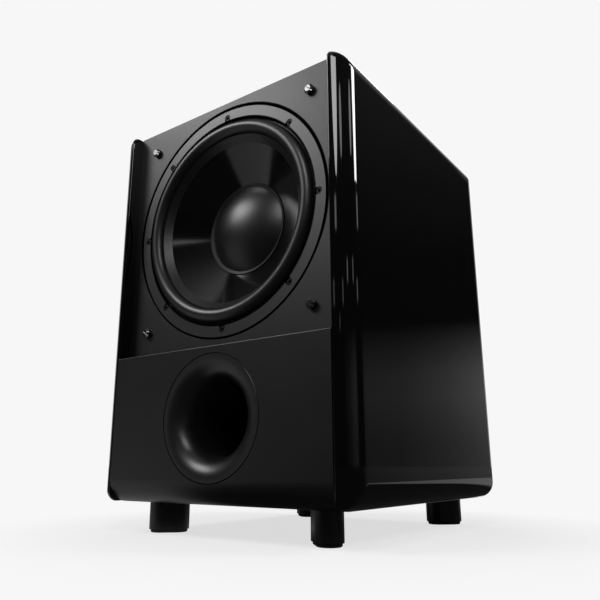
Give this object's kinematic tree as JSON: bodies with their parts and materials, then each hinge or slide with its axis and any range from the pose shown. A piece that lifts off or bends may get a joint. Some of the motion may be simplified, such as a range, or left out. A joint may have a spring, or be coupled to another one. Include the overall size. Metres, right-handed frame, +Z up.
{
  "type": "powered subwoofer",
  "caption": "Upright box loudspeaker for low notes: recessed front driver above a flared port, thick rounded gloss sides, oval feet, amplifier panel at the back.",
  "frame": {"origin": "centre of the bounding box on the floor, under the feet", "axes": "+Z up, the driver and port face -Y, +X to the right seen from the front"},
  "size_m": [0.3856, 0.435, 0.558],
  "materials": {
    "gloss_lacquer": "high gloss black lacquer over fibreboard",
    "satin_baffle": "fine textured satin black paint",
    "lower_finish": "fine textured satin black paint",
    "raw_board": "bare fibreboard",
    "trim_plastic": "satin black moulding",
    "black_casting": "black painted casting",
    "black_screw": "black oxide",
    "foam": "closed cell foam",
    "surround_rubber": "smooth butyl rubber",
    "cone_shell": "glossy black polypropylene",
    "cap_shell": "satin black",
    "former_foil": "thin foil",
    "copper_wire": "lacquered copper",
    "spider_cloth": "resin treated cloth",
    "motor_steel": "plated steel",
    "ferrite": "dark grey ferrite",
    "port_plastic": "satin black moulding",
    "stud_metal": "black nickel plate",
    "foot_plastic": "satin black",
    "pad_rubber": "rubber",
    "plate_metal": "black anodised",
    "circuit": "green solder mask",
    "brass_metal": "bare brass",
    "can_sleeve": "shrink sleeve",
    "sink_metal": "bare extrusion",
    "package_resin": "moulded resin",
    "winding_tape": "wound core under yellow tape",
    "zinc_steel": "zinc plate",
    "control_plastic": "satin black",
    "gold_plate": "gold plate",
    "light_lens": "clear red lens",
    "wire_cover": "insulated wire"
  },
  "bodies": {
    "cabinet": {"left_side_panel": "gloss_lacquer", "right_side_panel": "gloss_lacquer", "top_panel": "gloss_lacquer", "bottom_panel": "gloss_lacquer", "back_panel": "lower_finish", "upper_baffle": "satin_baffle", "lower_front_panel": "lower_finish", "cabinet_brace": "raw_board", "driver_trim_ring": "trim_plastic", "driver_basket": "black_casting", "driver_screws": "black_screw", "driver_gasket": "foam", "driver_surround": "surround_rubber", "driver_spider": "spider_cloth", "motor_front_plate": "motor_steel", "motor_magnet": "ferrite", "motor_back_plate": "motor_steel", "driver_terminals": "control_plastic", "port_mouth": "port_plastic", "port_tube": "port_plastic", "port_inner_flare": "port_plastic", "grille_studs": "stud_metal", "front_left_foot": "foot_plastic", "front_right_foot": "foot_plastic", "back_left_foot": "foot_plastic", "back_right_foot": "foot_plastic", "foot_pads": "pad_rubber", "foot_screws": "zinc_steel", "amplifier_plate": "plate_metal", "amplifier_gasket": "foam", "amplifier_screws": "black_screw", "circuit_board": "circuit", "board_spacers": "brass_metal", "filter_capacitors": "can_sleeve", "heat_sink": "sink_metal", "power_transistors": "package_resin", "mains_transformer": "winding_tape", "transformer_clamp": "zinc_steel", "transformer_bolt": "zinc_steel", "volume_control": "zinc_steel", "crossover_control": "zinc_steel", "slide_switch_bodies": "zinc_steel", "line_input_sockets": "gold_plate", "status_light": "light_lens", "mains_inlet": "control_plastic", "inlet_pins": "brass_metal", "rocker_frame": "control_plastic", "speaker_wires": "wire_cover"},
    "cone_assembly": {"driver_cone": "cone_shell", "dust_cap": "cap_shell", "voice_coil_former": "former_foil", "voice_coil": "copper_wire"},
    "volume_dial": {"volume_knob": "control_plastic", "volume_shaft": "sink_metal"},
    "crossover_dial": {"crossover_knob": "control_plastic", "crossover_shaft": "sink_metal"},
    "phase_switch": {"phase_slider": "control_plastic"},
    "standby_switch": {"standby_slider": "control_plastic"},
    "mains_switch": {"mains_rocker": "control_plastic"},
    "fuse_holder": {"fuse_drawer": "control_plastic"}
  },
  "joints": [
    {"name": "cone_travel", "type": "slide", "parent": "cabinet", "child": "cone_assembly", "axis": [0, 1, 0], "range_m": [-0.012, 0.012], "stiffness_N_per_m": 3000, "deforming": ["driver_surround", "driver_spider"]},
    {"name": "volume_turn", "type": "hinge", "parent": "cabinet", "child": "volume_dial", "pos_m": [-0.062, 0.20495, 0.446], "axis": [0, 1, 0], "range_deg": [-150, 150]},
    {"name": "crossover_turn", "type": "hinge", "parent": "cabinet", "child": "crossover_dial", "pos_m": [-0.018, 0.20495, 0.446], "axis": [0, 1, 0], "range_deg": [-150, 150]},
    {"name": "phase_slide", "type": "slide", "parent": "cabinet", "child": "phase_switch", "axis": [0, 0, 1], "range_m": [0, 0.004]},
    {"name": "standby_slide", "type": "slide", "parent": "cabinet", "child": "standby_switch", "axis": [0, 0, 1], "range_m": [0, 0.004]},
    {"name": "mains_rock", "type": "hinge", "parent": "cabinet", "child": "mains_switch", "pos_m": [0.06, 0.20545, 0.332], "axis": [1, 0, 0], "range_deg": [-18, 0]},
    {"name": "fuse_drawer_slide", "type": "slide", "parent": "cabinet", "child": "fuse_holder", "axis": [0, 1, 0], "range_m": [0, 0.016]}
  ]
}
